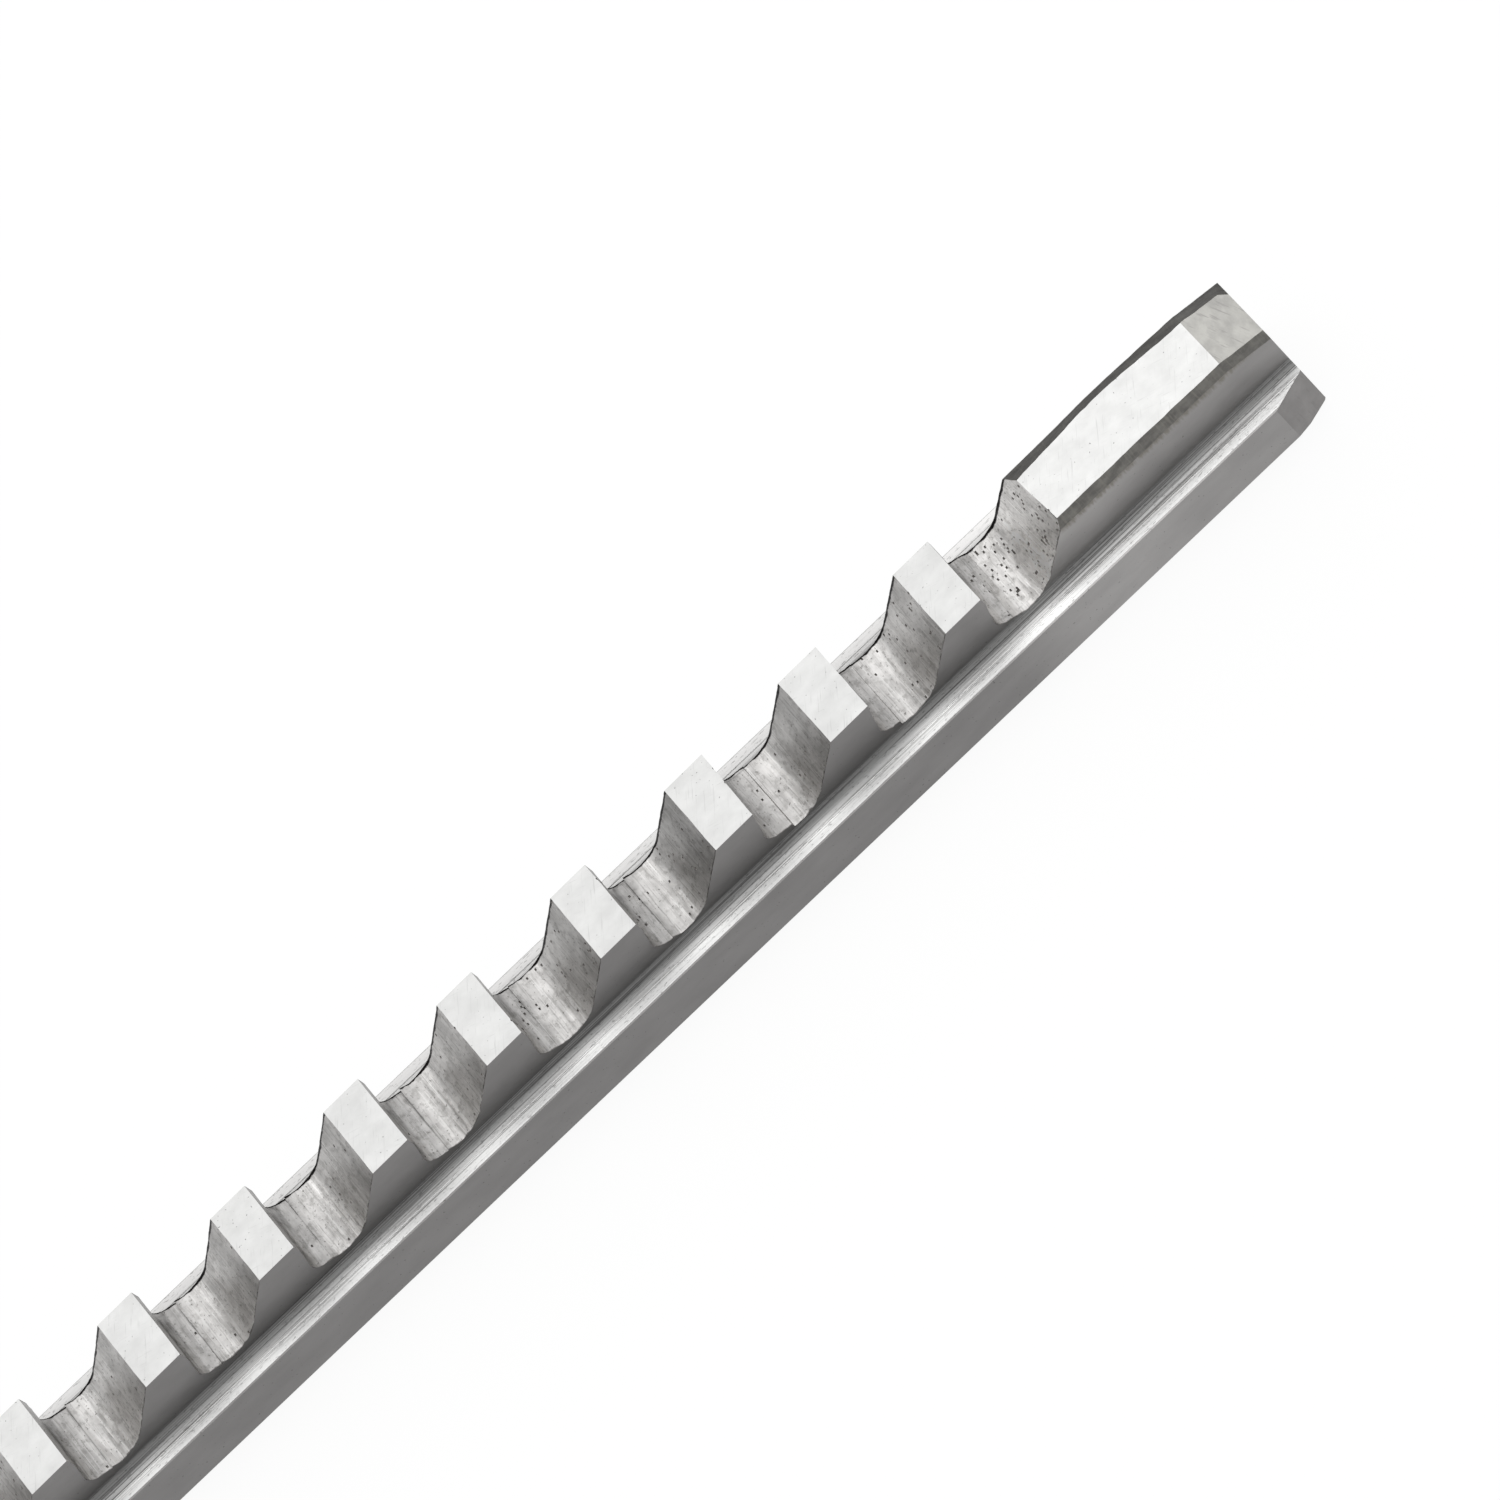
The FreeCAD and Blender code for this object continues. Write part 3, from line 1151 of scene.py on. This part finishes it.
# Painted shade, deepest in the root and at the foot of the hooked face, and lightest at the heel.
base = tone_along(tree, base, ahead, (
    (-0.6, 0.44), (0.2, 0.34), (0.6, 0.43), (1.0, 0.47), (1.5, 0.53), (2.4, 0.71), (3.07, 1.0),
    (3.7, 0.98), (4.8, 0.92), (5.7, 0.74), (6.4, 0.67), (6.8, 0.72)))

# Each back slope has its own tone, which fades out at the heel. Its near half is lighter.
slope = add(tree, "MapRange", {0: ahead, 1: 3.0 * MM, 2: 4.4 * MM})
across = add(tree, "MapRange", {0: place["Y"], 1: -rib_half, 2: rib_half, 3: 1.2, 4: 0.94})
tone = add(tree, "Attribute", attribute_name="slope_tone").outputs["Fac"]
tone = add(tree, "Math", {0: tone, 1: across}, operation="MULTIPLY")
base = add(tree, "Mix", {
    0: slope, 6: base, 7: add(tree, "Mix", {0: 1, 6: base, 7: tone}, data_type="RGBA",
                              blend_type="MULTIPLY")}, data_type="RGBA")

# The rims have dark lines of painted shade whose widths wander, a thin one on the near side.
wander = add(tree, "MapRange", {
    0: grain(tree, (0.7, 4, 0.7)), 1: 0.3, 2: 0.7, 3: -0.07 * MM, 4: 0.07 * MM})
rim = add(tree, "Math", {0: place["Y"], 1: wander}, operation="ADD")
base = tint(tree, base, rim, -2.93 * MM, -2.99 * MM, "#454341", most=0.8)

# The far line of painted shade is wide along the slope and thin along the floor.
far_rim_shade = add(tree, "MapRange", {0: ahead, 1: 1.8 * MM, 2: 3.4 * MM, 3: -0.1 * MM, 4: 0})
far_rim_shade = add(tree, "Math", {0: rim, 1: far_rim_shade}, operation="ADD")
base = tint(tree, base, far_rim_shade, 2.75 * MM, 2.81 * MM, "#1C1B1A")
finish_metal(tree, shader, base, (streak, 0.01), (fleck, 0.006))

# %% [markdown]
# ## Pit scale
# The pits still hold forging scale, a rough grey-brown oxide that hardly shines.

# %% Pit scale
tree, shader = metal(PIT, 0.6)
spot = grain(tree, (0.3, 0.3, 0.3))
base = tint(tree, linear("#55524F"), spot, 0.3, 0.7, "#7E7B78")
finish_metal(tree, shader, base, (spot, 0.02))

# %% [markdown]
# ## Hand ground flats
# The pilot's long corner flats were ground by hand, stroke by stroke across the corner, and
# have blued a little from the heat. That gives an uneven grey with an olive tinge. The far one
# is painted darker, as painted shade.

# %% Hand ground flats
tree, shader = metal(HAND, 0.42)
place = place_on(tree)
mottle = grain(tree, (0.9, 0.5, 0.5))
stroke = grain(tree, (0.22, 1.5, 1.5), detail=2)

base = tint(tree, linear("#84827F"), mottle, 0.35, 0.65, "#9C9A95")
base = tint(tree, base, stroke, 0.52, 0.7, "#A8A59D", most=0.6)
# Painted shade: the far flat is darker.
base = tone_along(tree, base, place["Y"], ((-0.1, 1.0), (0.1, 0.34)))
finish_metal(tree, shader, base, (stroke, 0.01), (mottle, 0.03))

# %% [markdown]
# ## Belt ground tip
# The bevel at the tip was ground on a finer belt, which leaves a pale satin with short slanting
# scratches and soft mottling.

# %% Belt ground tip
tree, shader = metal(BELT, 0.38)
mottle = grain(tree, (1.0, 1.6, 1.0))
scratch = grain(tree, (0.15, 1.8, 1), detail=2, turn=-20)

base = tint(tree, linear("#908F8C"), mottle, 0.35, 0.65, "#A1A09C")
base = tint(tree, base, scratch, 0.6, 0.7, "#787675", most=0.5)
finish_metal(tree, shader, base, (scratch, 0.004), (mottle, 0.02))

# %% [markdown]
# ## Disc ground leads
# The two side leads at the tip were taken down on a disc. They are an even, slightly darker
# satin than the sides, with a soft cloudiness.

# %% Disc ground leads
tree, shader = metal(DISC, 0.4)
cloud = grain(tree, (1.2, 2, 2))
lines = grain(tree, (0.15, 2, 2), detail=2)

base = tint(tree, linear("#7F7D7C"), cloud, 0.3, 0.7, "#8B8988")
base = tint(tree, base, lines, 0.6, 0.7, "#757372", most=0.5)
finish_metal(tree, shader, base, (lines, 0.003), (cloud, 0.02))

# %% [markdown]
# ## Floor
# The tool lies on a plain white sheet, a hair below its back. The sheet is far wider than the
# tool, so that low views don't see past it. It isn't a part of the tool.

# %% Floor
floor_size = 12
floor_gap = 0.01 * MM

bpy.ops.object.select_all(action="DESELECT")
bpy.ops.mesh.primitive_plane_add(size=floor_size, location=(0, 0, -floor_gap))
floor = bpy.context.object
floor.name = "floor"
print("floor size", floor_size)

# %% [markdown]
# ## White sheet
# The floor's material mixes plain matt white with an even glow that only the camera and
# reflections see. So the sheet is white in the picture and in the metal, like the photograph's
# background, and its matt share takes the tool's soft shadow.

# %% White sheet
white_share = 0.92

floor_paint = bpy.data.materials.new("white_studio_sheet")
floor_paint.use_nodes = True
tree = floor_paint.node_tree
matt = tree.nodes["Principled BSDF"]
matt.inputs["Base Color"].default_value = linear("#FAFAFA")
matt.inputs["Roughness"].default_value = 0.9
ray = add(tree, "LightPath").outputs
seen = add(tree, "Math", {0: ray["Is Camera Ray"], 1: ray["Is Glossy Ray"]}, operation="MAXIMUM")
seen = add(tree, "Math", {0: seen, 1: ray["Is Transmission Ray"]}, operation="MAXIMUM")
share = add(tree, "Math", {0: seen, 1: white_share}, operation="MULTIPLY")
white = add(tree, "Emission", {"Color": (1, 1, 1, 1), "Strength": 1})
both = add(tree, "MixShader", {0: share, 1: matt, 2: white})
tree.links.new(both.outputs[0], tree.nodes["Material Output"].inputs["Surface"])
floor.data.materials.append(floor_paint)
print("share of the even white", white_share)

# %% [markdown]
# ## Light
# One large softbox hangs over the tool, a little behind it and towards its tip, so that the
# lands mirror it and shine. A weaker strip straight above lights the near ledge, whose mirror
# direction the rib blocks. The even grey surroundings fill the sides.

# %% Light
studio_grey = (0.4, 0.4, 0.4, 1)

world = bpy.data.worlds.new("studio")
bpy.context.scene.world = world
world.use_nodes = True
world.node_tree.nodes["Background"].inputs["Color"].default_value = studio_grey


def lamp(name, place, size, power):
    """A rectangular lamp that looks at the tool. Its size is given along and across the tool."""
    data = bpy.data.lights.new(name, "AREA")
    data.shape = "RECTANGLE"
    data.size, data.size_y = size
    data.energy = power
    made = bpy.data.objects.new(name, data)
    made.location = place
    made.rotation_euler = (-Vector(place)).to_track_quat("-Z", "Y").to_euler()
    bpy.context.scene.collection.objects.link(made)
    print(name, "power", power, "distance", round(Vector(place).length, 2))


lamp("softbox", (0.15, 0.45, 0.9), (2.1, 1.7), 12.5)
lamp("overhead_strip", (0.1, -0.12, 1.0), (1.8, 0.5), 3.0)

# %% [markdown]
# ## Colours
# The Standard view shows the colours as they are.

# %% Colours
bpy.context.scene.view_settings.view_transform = "Standard"
